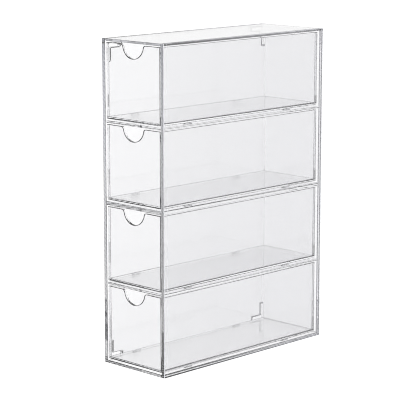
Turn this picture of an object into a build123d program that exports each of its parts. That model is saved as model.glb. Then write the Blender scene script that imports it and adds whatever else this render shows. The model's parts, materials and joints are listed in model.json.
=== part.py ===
from build123d import *
import os

# A tall, slim, clear case of bonded sheet with four drawers one above another.
# Millimetres. X runs across, the fronts face -Y, Z is up.
# The origin is the middle of the footprint, on the surface that the case stands on.

# Case
case_width = 87.0
case_depth = 233.0
case_height = 330.0
side_thickness = 4.5
top_thickness = 2.5
bottom_thickness = 3.0
back_thickness = 3.0
shelf_thickness = 2.5  # the upper and the lower shelf
middle_shelf_thickness = 4.0
shelf_setback = 1.0  # how far the thin shelves stay behind the case's front face

# L-shaped slots near the corners of the left side panel
slot_width = 3.7
slot_arm = 17.0  # outer length of each arm
slot_from_front = 4.0  # also from the back
slot_from_end = 5.5  # from the top and from the bottom

# Drawers
drawer_front_thickness = 3.0
drawer_side_thickness = 2.5
drawer_back_thickness = 2.5
drawer_floor_thickness = 2.2
front_setback = 0.5  # closed drawer fronts stay this far behind the case's front face

# Finger notch in the top edge of a drawer front
notch_radius = 14.0
notch_lip_radius = 4.0

# Pads under a drawer's floor, which slide on the shelf below
glide_length = 11.0
glide_width = 4.0
glide_height = 1.5
glide_from_side = 2.5  # pad's middle to the drawer's side
glide_from_front = 38.0  # pad's middle to the drawer's front face
glide_from_back = 45.5  # pad's middle to the drawer's back face

# Clearances
gap_beside = 1.0  # drawer to each side panel
gap_above = 1.2  # drawer to the panel over it
gap_behind = 2.5  # closed drawer to the back panel
gap_glide = 0.2  # pad to the shelf under it

# Sizes that follow from the ones above
inner_width = case_width - 2 * side_thickness
front_face = -case_depth / 2
back_face = case_depth / 2
shelf_thicknesses = [shelf_thickness, middle_shelf_thickness, shelf_thickness]  # from the top down
bay_count = len(shelf_thicknesses) + 1
solid_height = top_thickness + sum(shelf_thicknesses) + bottom_thickness
bay_height = (case_height - solid_height) / bay_count

gap_below = glide_height + gap_glide
drawer_width = inner_width - 2 * gap_beside
drawer_height = bay_height - gap_above - gap_below
drawer_front_face = front_face + front_setback
drawer_back_face = back_face - back_thickness - gap_behind
box_front = drawer_front_face + drawer_front_thickness  # where the sides and floor meet the front
box_length = drawer_back_face - box_front
wall_height = drawer_height - drawer_floor_thickness

os.makedirs("parts", exist_ok=True)


def save(piece, label):
    piece.part.label = label
    export_step(piece.part, f"parts/{label}.step")


# ---- Case ----


def make_side_panel(outer_x, slotted):
    """A full side panel, whose outer face is at outer_x and which lies towards the middle."""
    with BuildPart() as panel:
        with BuildSketch(Plane.YZ.offset(outer_x)):
            with Locations((0, case_height / 2)):
                Rectangle(case_depth, case_height)
            if slotted:
                for y_side in (-1, 1):  # front, back
                    for z_side in (-1, 1):  # low, high
                        slot_y = y_side * (case_depth / 2 - slot_from_front)
                        slot_z = case_height / 2 + z_side * (case_height / 2 - slot_from_end)
                        away = (Align.MIN if y_side < 0 else Align.MAX, Align.MIN if z_side < 0 else Align.MAX)
                        with Locations((slot_y, slot_z)):
                            Rectangle(slot_arm, slot_width, align=away, mode=Mode.SUBTRACT)
                            Rectangle(slot_width, slot_arm, align=away, mode=Mode.SUBTRACT)
        extrude(amount=-side_thickness if outer_x > 0 else side_thickness)
    return panel


left_side_panel = make_side_panel(-case_width / 2, slotted=True)
save(left_side_panel, "left_side_panel")

right_side_panel = make_side_panel(case_width / 2, slotted=False)
save(right_side_panel, "right_side_panel")

with BuildPart() as top_panel:
    with BuildSketch(Plane.XY.offset(case_height)):
        Rectangle(inner_width, case_depth)
    extrude(amount=-top_thickness)
save(top_panel, "top_panel")

with BuildPart() as bottom_panel:
    with BuildSketch(Plane.XY):
        Rectangle(inner_width, case_depth)
    extrude(amount=bottom_thickness)
save(bottom_panel, "bottom_panel")

with BuildPart() as back_panel:
    with BuildSketch(Plane.XY.offset(bottom_thickness)):
        with Locations((0, back_face)):
            Rectangle(inner_width, back_thickness, align=(Align.CENTER, Align.MAX))
    extrude(amount=case_height - top_thickness - bottom_thickness)
save(back_panel, "back_panel")


def make_shelf(top, thickness, setback):
    """A shelf between the side panels that meets the back panel."""
    with BuildPart() as shelf:
        with BuildSketch(Plane.XY.offset(top)):
            with Locations((0, front_face + setback)):
                shelf_length = case_depth - back_thickness - setback
                Rectangle(inner_width, shelf_length, align=(Align.CENTER, Align.MIN))
        extrude(amount=-thickness)
    return shelf


# Height of the surface that each drawer runs on, from the top bay down
bay_floors = []
bay_top = case_height - top_thickness
for thickness_below in shelf_thicknesses + [bottom_thickness]:
    bay_floors.append(bay_top - bay_height)
    bay_top = bay_floors[-1] - thickness_below

upper_shelf = make_shelf(bay_floors[0], shelf_thickness, shelf_setback)
save(upper_shelf, "upper_shelf")

middle_shelf = make_shelf(bay_floors[1], middle_shelf_thickness, 0)
save(middle_shelf, "middle_shelf")

lower_shelf = make_shelf(bay_floors[2], shelf_thickness, shelf_setback)
save(lower_shelf, "lower_shelf")


# ---- Drawers ----


def make_drawer_front(base):
    """Front with its underside at base, and the finger notch in the middle of its top edge."""
    with BuildPart() as front:
        with BuildSketch(Plane.XZ.offset(-drawer_front_face)) as face:
            with Locations((0, base)):
                Rectangle(drawer_width, drawer_height, align=(Align.CENTER, Align.MIN))
            with Locations((0, base + drawer_height)):
                Circle(notch_radius, mode=Mode.SUBTRACT)
            lips = face.vertices().group_by(Axis.Y)[-1].sort_by(Axis.X)[1:3]
            fillet(lips, notch_lip_radius)
        extrude(amount=-drawer_front_thickness)
    return front


def make_drawer_floor(base):
    with BuildPart() as floor:
        with BuildSketch(Plane.XY.offset(base)):
            with Locations((0, box_front)):
                Rectangle(drawer_width, box_length, align=(Align.CENTER, Align.MIN))
        extrude(amount=drawer_floor_thickness)
    return floor


def make_drawer_side(base, hand):
    """Side that stands on the floor; hand is -1 for the left one and 1 for the right one."""
    with BuildPart() as side:
        with BuildSketch(Plane.XY.offset(base + drawer_floor_thickness)):
            with Locations((hand * (drawer_width - drawer_side_thickness) / 2, box_front)):
                Rectangle(drawer_side_thickness, box_length, align=(Align.CENTER, Align.MIN))
        extrude(amount=wall_height)
    return side


def make_drawer_back(base):
    """Back that stands on the floor, between the sides."""
    with BuildPart() as back:
        with BuildSketch(Plane.XY.offset(base + drawer_floor_thickness)):
            with Locations((0, drawer_back_face)):
                back_width = drawer_width - 2 * drawer_side_thickness
                Rectangle(back_width, drawer_back_thickness, align=(Align.CENTER, Align.MAX))
        extrude(amount=wall_height)
    return back


def make_drawer_glides(base):
    """Four round-ended pads under the floor."""
    glide_x = drawer_width / 2 - glide_from_side
    front_y = drawer_front_face + glide_from_front
    back_y = drawer_back_face - glide_from_back
    with BuildPart() as glides:
        with BuildSketch(Plane.XY.offset(base)):
            with Locations((-glide_x, front_y), (glide_x, front_y), (-glide_x, back_y), (glide_x, back_y)):
                SlotOverall(glide_length, glide_width, rotation=90)
        extrude(amount=-glide_height)
    return glides


for number, bay_floor in enumerate(bay_floors, start=1):
    base = bay_floor + gap_below
    save(make_drawer_front(base), f"drawer_{number}_front")
    save(make_drawer_floor(base), f"drawer_{number}_floor")
    save(make_drawer_side(base, -1), f"drawer_{number}_left_side")
    save(make_drawer_side(base, 1), f"drawer_{number}_right_side")
    save(make_drawer_back(base), f"drawer_{number}_back")
    save(make_drawer_glides(base), f"drawer_{number}_glides")
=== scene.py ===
import json
import math
import bpy
import bmesh
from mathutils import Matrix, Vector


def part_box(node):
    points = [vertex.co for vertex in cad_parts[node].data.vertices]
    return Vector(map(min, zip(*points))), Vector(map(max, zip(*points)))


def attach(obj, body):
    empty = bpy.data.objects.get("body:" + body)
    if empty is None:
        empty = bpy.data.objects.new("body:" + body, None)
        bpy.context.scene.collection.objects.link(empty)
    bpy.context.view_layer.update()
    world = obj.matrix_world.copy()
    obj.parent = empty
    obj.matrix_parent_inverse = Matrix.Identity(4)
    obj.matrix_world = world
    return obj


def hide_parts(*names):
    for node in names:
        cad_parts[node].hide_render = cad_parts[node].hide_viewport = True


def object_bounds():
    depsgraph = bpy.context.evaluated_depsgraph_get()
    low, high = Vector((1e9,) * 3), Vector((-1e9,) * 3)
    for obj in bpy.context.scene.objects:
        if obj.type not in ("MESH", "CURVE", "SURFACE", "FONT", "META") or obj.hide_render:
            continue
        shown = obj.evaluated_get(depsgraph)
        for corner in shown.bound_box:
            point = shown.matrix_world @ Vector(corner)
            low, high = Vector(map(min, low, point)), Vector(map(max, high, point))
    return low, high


# A tall clear case with four drawers, all of acrylic sheet with polished faces, saw-cut ends and eased edges
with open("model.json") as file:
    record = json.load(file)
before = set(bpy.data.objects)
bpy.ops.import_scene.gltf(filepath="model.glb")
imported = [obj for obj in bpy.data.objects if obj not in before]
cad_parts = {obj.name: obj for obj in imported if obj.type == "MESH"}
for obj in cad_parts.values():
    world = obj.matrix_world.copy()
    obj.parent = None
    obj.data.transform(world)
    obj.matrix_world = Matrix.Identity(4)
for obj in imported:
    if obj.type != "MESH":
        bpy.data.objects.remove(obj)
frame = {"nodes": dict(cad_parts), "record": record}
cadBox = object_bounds()
scene = bpy.context.scene
nodes = frame["nodes"]
drawers = [name for name in frame["record"]["behaviour"]["bodies"] if name != "case"]
width, depth, height = range(3)  # axes: across the front, front to back, upwards
print("frame loaded:", len(nodes), "nodes,", len(drawers), "drawers")

# camera, set to the photograph's viewing angle
view = {
    "azimuth": 44.58,  # degrees round from the front, towards +X
    "elevation": 10.68,  # degrees above the horizon
    "lens": 159.47,
    "place": (1.2485, -1.2897, 0.4963),
}


def placeCamera():
    camera = bpy.data.objects.new("camera", bpy.data.cameras.new("camera"))
    camera.data.lens = view["lens"]
    camera.location = view["place"]
    camera.rotation_euler = (math.radians(90 - view["elevation"]), 0, math.radians(view["azimuth"]))
    scene.collection.objects.link(camera)
    scene.camera = camera
    print("camera placed")


placeCamera()


# shader nodes: a Net adds them, and a Wire is one output with its maths written as expressions
class Wire:
    def __init__(self, net, socket):
        self.net = net
        self.socket = socket

    def combine(self, operation, first, second):
        return self.net.add("ShaderNodeMath", {"operation": operation}, {0: first, 1: second})

    def __add__(self, other):
        return self.combine("ADD", self, other)

    def __radd__(self, other):
        return self.combine("ADD", other, self)

    def __sub__(self, other):
        return self.combine("SUBTRACT", self, other)

    def __rsub__(self, other):
        return self.combine("SUBTRACT", other, self)

    def __mul__(self, other):
        return self.combine("MULTIPLY", self, other)

    def __rmul__(self, other):
        return self.combine("MULTIPLY", other, self)


class Net:
    def __init__(self, owner):
        owner.use_nodes = True
        self.tree = owner.node_tree

    def add(self, kind, settings=None, sockets=None, output=0):
        node = self.tree.nodes.new(kind)
        for name, value in (settings or {}).items():
            if name == "stops":
                setStops(node.color_ramp, value)
            else:
                setattr(node, name, value)
        for key, value in (sockets or {}).items():
            self.fill(node.inputs[key], value)
        return Wire(self, node.outputs[output])

    def fill(self, socket, value):
        if isinstance(value, Wire):
            self.tree.links.new(value.socket, socket)
        else:
            socket.default_value = value

    def feed(self, nodeName, sockets):  # fills sockets of a node that is already there
        for key, value in sockets.items():
            self.fill(self.tree.nodes[nodeName].inputs[key], value)

    def ramp(self, factor, stops):
        return self.add("ShaderNodeValToRGB", {"stops": stops}, {0: factor})

    def mix(self, factor, first, second):
        node = self.tree.nodes.new("ShaderNodeMix")
        node.data_type = "RGBA"
        for name, value in {"Factor": factor, "A": first, "B": second}.items():
            self.fill(next(socket for socket in node.inputs if socket.name == name and socket.enabled), value)
        return Wire(self, next(socket for socket in node.outputs if socket.enabled))


def grey(level):
    return (level, level, level, 1)


def setStops(ramp, stops):
    while len(ramp.elements) < len(stops):
        ramp.elements.new(1.0)
    for element, (position, level) in zip(ramp.elements, stops):
        element.position = position
        element.color = grey(level)


def objectPlace(net):
    return net.add("ShaderNodeTexCoord", output="Object")


def along(net, place, axis):
    return net.add("ShaderNodeSeparateXYZ", sockets={0: place}, output=axis)


def shareAlong(net, place, axis):  # 0 at the case's low end of the axis, 1 at its high end
    low, high = cadBox[0][axis], cadBox[1][axis]
    return (along(net, place, axis) - low) * (1 / (high - low))


# studio: a pale floor that glows like a light table, a white surround and a dimmer ceiling
studio = {
    "floorRadius": 6.0,
    "floorSides": 96,
    "floorGlow": 1.10,
    "floorTone": 0.15,
    "floorRoughness": 0.9,
    "backdrop": 1.15,
    "ceiling": [  # height of a ray's direction, brightness
        (0.0, 1.15),
        (0.03, 1.0),
        (0.09, 0.95),
        (0.135, 1.08),
        (0.2, 1.01),
        (0.5, 0.6),
        (0.8, 0.4),
    ],
    "bounces": 160,
    "filterWidth": 1.0,  # pixels, for crisp lines
}


def lightRoom():
    world = bpy.data.worlds.new("studio")
    scene.world = world
    net = Net(world)
    direction = net.add("ShaderNodeTexCoord", output="Generated")
    sky = net.ramp(along(net, direction, height), studio["ceiling"])
    seen = net.add("ShaderNodeLightPath", output="Is Camera Ray")
    net.feed("Background", {"Color": net.mix(seen, sky, grey(studio["backdrop"])), "Strength": 1.0})


def layFloor():
    finish = bpy.data.materials.new("floorPaper")
    Net(finish).feed("Principled BSDF", {
        "Base Color": grey(studio["floorTone"]),
        "Roughness": studio["floorRoughness"],
        "Specular IOR Level": 0.0,
        "Emission Color": grey(1.0),
        "Emission Strength": studio["floorGlow"],
    })
    shape = bmesh.new()
    bmesh.ops.create_circle(shape, cap_ends=True, radius=studio["floorRadius"], segments=studio["floorSides"])
    mesh = bpy.data.meshes.new("floor")
    shape.to_mesh(mesh)
    shape.free()
    mesh.materials.append(finish)
    floor = bpy.data.objects.new("floor", mesh)
    scene.collection.objects.link(floor)


def tuneRender():
    scene.view_settings.view_transform = "Standard"
    scene.cycles.max_bounces = studio["bounces"]
    scene.cycles.transmission_bounces = studio["bounces"]
    scene.cycles.glossy_bounces = studio["bounces"]
    scene.cycles.filter_width = studio["filterWidth"]


lightRoom()
layFloor()
tuneRender()
print("studio built")

# polished faces: clear acrylic, whose tint darkens from the near end to the far one and towards the bottom,
# as painted shade
polishedFace = {
    "ior": 1.49,
    "depthColour": (0.64, 0.65, 0.68, 1),
    "depthDensity": 0.8,
    "wall": {"near": (0.926, 0.926, 0.930, 1), "far": (0.900, 0.900, 0.907, 1)},
    "top": {"near": (0.93, 0.93, 0.933, 1), "far": (0.93, 0.93, 0.933, 1)},
    "shelf": {"near": (0.985, 0.985, 0.988, 1), "far": (0.975, 0.975, 0.98, 1)},
    "paintedShade": {"start": 0.55, "backward": 2.8, "upward": -0.7},  # near to far: a share, and what a metre adds
    "ripple": {"Scale": 14.0, "Detail": 2.0},
    "rippleHeight": 0.00002,
}


def addDepth(net):
    sockets = {"Color": polishedFace["depthColour"], "Density": polishedFace["depthDensity"]}
    net.feed("Material Output", {"Volume": net.add("ShaderNodeVolumeAbsorption", sockets=sockets)})


def makePolishedFace(name, tintAndShade):
    finish = bpy.data.materials.new(name)
    net = Net(finish)
    place = objectPlace(net)
    paintedShade = polishedFace["paintedShade"]
    backward = paintedShade["backward"] * along(net, place, depth)
    upward = paintedShade["upward"] * along(net, place, height)
    ripple = net.add("ShaderNodeTexNoise", sockets={"Vector": place, **polishedFace["ripple"]})
    bump = net.add("ShaderNodeBump", sockets={"Height": ripple, "Distance": polishedFace["rippleHeight"]})
    # painted shade: the base colour goes from the near tint to a darker one towards the back and the bottom
    net.feed("Principled BSDF", {
        "Base Color": net.mix(paintedShade["start"] + backward + upward, tintAndShade["near"], tintAndShade["far"]),
        "Roughness": 0.0,
        "IOR": polishedFace["ior"],
        "Transmission Weight": 1.0,
        "Normal": bump,
    })
    addDepth(net)
    return finish


# saw-cut ends: clear, slightly dull and striped with saw marks, over painted shade that is darkest low down;
# each stop is a share of the case's height and a level
sawCutAndShade = {
    "upright": {
        "dark": [(0.15, 0.23), (0.4, 0.26), (0.64, 0.46), (0.88, 0.66)],
        "light": [(0.15, 0.36), (0.4, 0.42), (0.64, 0.7), (0.88, 0.98)],
    },
    "level": {"dark": [(0.0, 0.45), (1.0, 1.0)], "light": [(0.0, 0.95), (1.0, 1.0)]},
    "stripe": 0.0048,  # between two saw marks
    "marks": {"Distortion": 1.5, "Detail": 2.0, "Detail Scale": 0.6},
    "roughness": 0.1,
}
plainStripe = 2 * math.pi / 10  # between two stripes of a wave texture at scale 1


def makeSawCutAndShade(name, look):
    finish = bpy.data.materials.new(name)
    net = Net(finish)
    place = objectPlace(net)
    settings = {"wave_type": "BANDS", "bands_direction": "DIAGONAL", "wave_profile": "SIN"}
    sockets = {"Vector": place, "Scale": plainStripe / sawCutAndShade["stripe"], **sawCutAndShade["marks"]}
    marks = net.add("ShaderNodeTexWave", settings, sockets, output=1)  # output 1 is the plain number
    upward = shareAlong(net, place, height)
    # painted shade: the base colour goes from dark grey at the bottom of the case to pale near the top,
    # striped by the saw marks
    net.feed("Principled BSDF", {
        "Base Color": net.mix(marks, net.ramp(upward, look["dark"]), net.ramp(upward, look["light"])),
        "Roughness": sawCutAndShade["roughness"],
        "IOR": polishedFace["ior"],
        "Transmission Weight": 1.0,
    })
    addDepth(net)
    return finish


# eased edges: chamfers coloured as fine patchy dark lines, painted shade for the dark seen along the edges of
# clear sheet; most of them paler towards the back
easedEdge = {
    "kinds": {  # each level is a share of the case's depth, then the dark and the light of the patches there
        "deep": {"patches": 120.0, "levels": [(0.0, 0.015, 0.08), (1.0, 1.0, 1.0)]},
        "firm": {"patches": 160.0, "levels": [(0.0, 0.03, 0.18), (1.0, 1.0, 1.0)]},
        "soft": {"patches": 160.0, "levels": [(0.0, 0.12, 0.4), (1.0, 1.0, 1.0)]},
        "faint": {"patches": 90.0, "levels": [(0.0, 0.75, 1.0), (1.0, 1.0, 1.0)]},
        "dull": {"patches": 160.0, "levels": [(0.0, 0.35, 0.62), (1.0, 1.0, 1.0)]},
        "dashed": {"patches": 230.0, "levels": [(0.0, 0.01, 0.6), (1.0, 1.0, 1.0)]},
        "rear": {"patches": 230.0, "levels": [(0.0, 0.1, 0.35), (0.79, 0.1, 0.35), (0.80, 0.01, 0.05)]},
    },
    "patchSplit": [(0.4, 0.0), (0.6, 1.0)],
    "patchDetail": 1.0,
    "roughness": 0.35,
    "cast": (0.97, 0.975, 1.03),  # a trace of blue
}


def makeEasedEdgeShade(name, look):
    finish = bpy.data.materials.new(name)
    net = Net(finish)
    place = objectPlace(net)
    sockets = {"Vector": place, "Scale": look["patches"], "Detail": easedEdge["patchDetail"]}
    patches = net.ramp(net.add("ShaderNodeTexNoise", sockets=sockets), easedEdge["patchSplit"])
    backward = shareAlong(net, place, depth)
    dark = net.ramp(backward, [(spot, low) for spot, low, high in look["levels"]])
    light = net.ramp(backward, [(spot, high) for spot, low, high in look["levels"]])
    # painted shade: opaque dark grey to near-black edge colour, paler towards the back, patchy and with a
    # trace of blue
    sockets = {0: net.mix(patches, dark, light), 1: easedEdge["cast"]}
    net.feed("Principled BSDF", {
        "Base Color": net.add("ShaderNodeVectorMath", {"operation": "MULTIPLY"}, sockets),
        "Roughness": easedEdge["roughness"],
    })
    return finish


finishes = {
    "wall": makePolishedFace("polishedWall", polishedFace["wall"]),
    "top": makePolishedFace("polishedTop", polishedFace["top"]),
    "shelf": makePolishedFace("polishedShelf", polishedFace["shelf"]),
    "sawUprightShaded": makeSawCutAndShade("sawCutUprightShaded", sawCutAndShade["upright"]),
    "sawLevelShaded": makeSawCutAndShade("sawCutLevelShaded", sawCutAndShade["level"]),
}
for kind, look in easedEdge["kinds"].items():
    finishes[kind] = makeEasedEdgeShade("easedEdge" + kind.capitalize(), look)
print("finishes made:", ", ".join(finishes))

# how a copy of a CAD sheet becomes the piece that shows, in metres and degrees
sheetWork = {
    "glueLine": 0.00003,
    "sameSpot": 1e-6,
    "sameFace": 1e-5,
    "facing": 0.99,  # least share of a face's normal that points the wanted way
    "flat": 1.0,
    "corner": 50.0,
    "sharp": 15.0,
    "endShare": 0.01,  # how near an end counts as at it, where the sheet's box goes from 0 to 1
    "middle": 0.5,
}
sheetEnds = {"front": (depth, -1), "back": (depth, 1), "top": (height, 1)}  # axis, way along it


def sheetCopy(nodeName, box):
    low, high = box
    shape = bmesh.new()
    shape.from_mesh(nodes[nodeName].data)
    bmesh.ops.remove_doubles(shape, verts=shape.verts, dist=sheetWork["sameSpot"])
    flat = math.radians(sheetWork["flat"])
    bmesh.ops.dissolve_limit(shape, angle_limit=flat, verts=shape.verts, edges=shape.edges)
    # a glue line's thickness comes off every outer face, so that bonded sheets don't share a face
    for vert in shape.verts:
        for axis in (width, depth, height):
            if abs(vert.co[axis] - low[axis]) < sheetWork["sameSpot"]:
                vert.co[axis] += sheetWork["glueLine"]
            elif abs(vert.co[axis] - high[axis]) < sheetWork["sameSpot"]:
                vert.co[axis] -= sheetWork["glueLine"]
    return shape


def spotIn(box, place):
    low, high = box
    return [(place[axis] - low[axis]) / (high[axis] - low[axis]) for axis in (width, depth, height)]


def atLow(spot):
    return spot < sheetWork["endShare"]


def atHigh(spot):
    return spot > 1 - sheetWork["endShare"]


def between(spot):
    return not atLow(spot) and not atHigh(spot)


def everyEdge(start, end):
    return True


def longEdges(way, side, isThere):  # those that run along one axis, at one end of another
    def holds(start, end):
        isLong = abs(start[way] - end[way]) > sheetWork["middle"]
        return isLong and isThere(start[side]) and isThere(end[side])
    return holds


def easeEdges(shape, box, holds, ease):
    corners = [edge for edge in shape.edges if edge.calc_face_angle(0) > math.radians(sheetWork["corner"])]
    corners = [edge for edge in corners if holds(*[spotIn(box, vert.co) for vert in edge.verts])]
    eased = bmesh.ops.bevel(
        shape, geom=corners, offset=ease, offset_type="OFFSET", segments=1,
        profile=0.5, affect="EDGES", material=-1, clamp_overlap=True,
    )
    return [(face, spotIn(box, face.calc_center_median())) for face in eased["faces"]]


def sawnFaces(shape, end):
    axis, way = sheetEnds[end]
    outermost = max(vert.co[axis] * way for vert in shape.verts)
    facing = [face for face in shape.faces if face.normal[axis] * way > sheetWork["facing"]]
    least = outermost - sheetWork["sameFace"]
    return [face for face in facing if face.calc_center_median()[axis] * way > least]


def scoredFaces(shape, box, score):  # cuts a fine upright line into the outer face
    line = box[0][depth] + score["behindFront"]
    for side in (-0.5, 0.5):
        everything = [*shape.verts, *shape.edges, *shape.faces]
        cut = (0, line + side * score["width"], 0)
        bmesh.ops.bisect_plane(shape, geom=everything, plane_co=cut, plane_no=(0, 1, 0))
    facing = [face for face in shape.faces if face.normal[width] > sheetWork["facing"]]
    return [face for face in facing if abs(face.calc_center_median()[depth] - line) < score["width"] / 2]


def dressSheet(nodeName, body, look):
    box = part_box(nodeName)
    shape = sheetCopy(nodeName, box)
    used = [look["sheet"]]

    def paint(face, finish):
        if finish not in used:
            used.append(finish)
        face.material_index = used.index(finish)

    for end, finish in look.get("sawn", {}).items():
        for face in sawnFaces(shape, end):
            paint(face, finish)
    for wide in look.get("wide", []):
        for face, spot in easeEdges(shape, box, wide["holds"], wide["ease"]):
            paint(face, wide["edge"])
    for face, spot in easeEdges(shape, box, everyEdge, look["ease"]):
        paint(face, look["edge"](*spot))
    if "score" in look:
        for face in scoredFaces(shape, box, look["score"]):
            paint(face, look["score"]["edge"])

    mesh = bpy.data.meshes.new(nodeName + "_sheet")
    shape.to_mesh(mesh)
    shape.free()
    mesh.shade_smooth()
    mesh.set_sharp_from_angle(angle=math.radians(sheetWork["sharp"]))
    for finish in used:
        mesh.materials.append(finishes[finish])
    piece = bpy.data.objects.new(nodeName + "_sheet", mesh)
    scene.collection.objects.link(piece)
    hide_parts(nodeName)
    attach(piece, body)


# a look names the finish of the sheet's faces, the painted shade of its sawn ends and of each eased edge,
# from where that edge lies
def slotEdges(start, end):  # all edges of the rear slots, and the inner edges of the front ones
    inSlot = all(between(spot[depth]) and between(spot[height]) for spot in (start, end))
    return inSlot and (start[depth] > sheetWork["middle"] or (atHigh(start[width]) and atHigh(end[width])))


# painted shade: each eased edge gets a darker or paler line by where it lies
def leftPanelEdge(x, y, z):
    inFrontSlot = between(y) and between(z) and y < sheetWork["middle"]
    if atHigh(y) or inFrontSlot:
        return "wall"
    return "soft" if atLow(y) else "firm"


leftPanel = {
    "sheet": "wall",
    "sawn": {"front": "sawUprightShaded"},
    "ease": 0.0004,
    "edge": leftPanelEdge,
    "wide": [{"holds": slotEdges, "ease": 0.0009, "edge": "deep"}],
}
dressSheet("left_side_panel", "case", leftPanel)


def rightPanelEdge(x, y, z):
    outer = x > sheetWork["middle"]
    if atLow(y) and outer:
        return "faint"
    if atHigh(z):
        return "dull" if outer else "wall"
    return "deep" if atLow(z) else "firm"


rightPanel = {
    "sheet": "wall",
    "sawn": {"front": "sawUprightShaded", "back": "sawLevelShaded", "top": "dull"},
    "ease": 0.0004,
    "edge": rightPanelEdge,
    "wide": [
        {"holds": longEdges(height, depth, atHigh), "ease": 0.0008, "edge": "deep"},
        {"holds": longEdges(depth, height, atLow), "ease": 0.0006, "edge": "deep"},
    ],
    "score": {"behindFront": 0.0044, "width": 0.0003, "edge": "faint"},
}
dressSheet("right_side_panel", "case", rightPanel)

topPanel = {
    "sheet": "top",
    "sawn": {"front": "dull"},
    "ease": 0.0003,
    "edge": lambda x, y, z: "soft" if atLow(y) else "top" if atHigh(x) else "firm",
    "wide": [{"holds": longEdges(depth, width, atLow), "ease": 0.0015, "edge": "deep"}],
}
dressSheet("top_panel", "case", topPanel)

bottomPanel = {
    "sheet": "shelf",
    "sawn": {"front": "sawLevelShaded"},
    "ease": 0.0004,
    "edge": lambda x, y, z: "deep",
    "wide": [{"holds": longEdges(depth, width, atHigh), "ease": 0.0008, "edge": "deep"}],
}
dressSheet("bottom_panel", "case", bottomPanel)

backPanel = {
    "sheet": "wall",
    "ease": 0.0003,
    "edge": lambda x, y, z: "firm" if atHigh(x) else "wall",
    "wide": [{"holds": longEdges(height, width, atHigh), "ease": 0.0008, "edge": "deep"}],
}
dressSheet("back_panel", "case", backPanel)

thinShelf = {
    "sheet": "shelf",
    "ease": 0.0002,
    "edge": lambda x, y, z: "faint" if atLow(x) else "soft",
}
dressSheet("upper_shelf", "case", thinShelf)
dressSheet("lower_shelf", "case", thinShelf)

middleShelf = {
    "sheet": "shelf",
    "sawn": {"front": "sawLevelShaded"},
    "ease": 0.0003,
    "edge": lambda x, y, z: "dashed",
}
dressSheet("middle_shelf", "case", middleShelf)
print("case dressed")

drawerFront = {
    "sheet": "wall",
    "ease": 0.0005,
    "edge": lambda x, y, z: "wall" if atLow(x) else "firm",
}
drawerFloor = {
    "sheet": "shelf",
    "ease": 0.0002,
    "edge": lambda x, y, z: "faint" if atLow(x) or atHigh(y) else "rear" if atHigh(x) else "soft",
    "wide": [{"holds": longEdges(depth, width, atHigh), "ease": 0.0004, "edge": "rear"}],
}
drawerLeftSide = {
    "sheet": "wall",
    "ease": 0.0002,
    "edge": lambda x, y, z: "wall",
}
drawerRightSide = {
    "sheet": "wall",
    "ease": 0.0003,
    "edge": lambda x, y, z: "deep" if atHigh(y) else "faint" if atLow(z) else "rear",
}
drawerBack = {
    "sheet": "wall",
    "ease": 0.0003,
    "edge": lambda x, y, z: "deep" if atHigh(x) else "wall",
}
drawerGlides = {
    "sheet": "shelf",
    "ease": 0.0002,
    "edge": lambda x, y, z: "soft",
}
for drawer in drawers:
    dressSheet(drawer + "_front", drawer, drawerFront)
    dressSheet(drawer + "_floor", drawer, drawerFloor)
    dressSheet(drawer + "_left_side", drawer, drawerLeftSide)
    dressSheet(drawer + "_right_side", drawer, drawerRightSide)
    dressSheet(drawer + "_back", drawer, drawerBack)
    dressSheet(drawer + "_glides", drawer, drawerGlides)
print("drawers dressed")
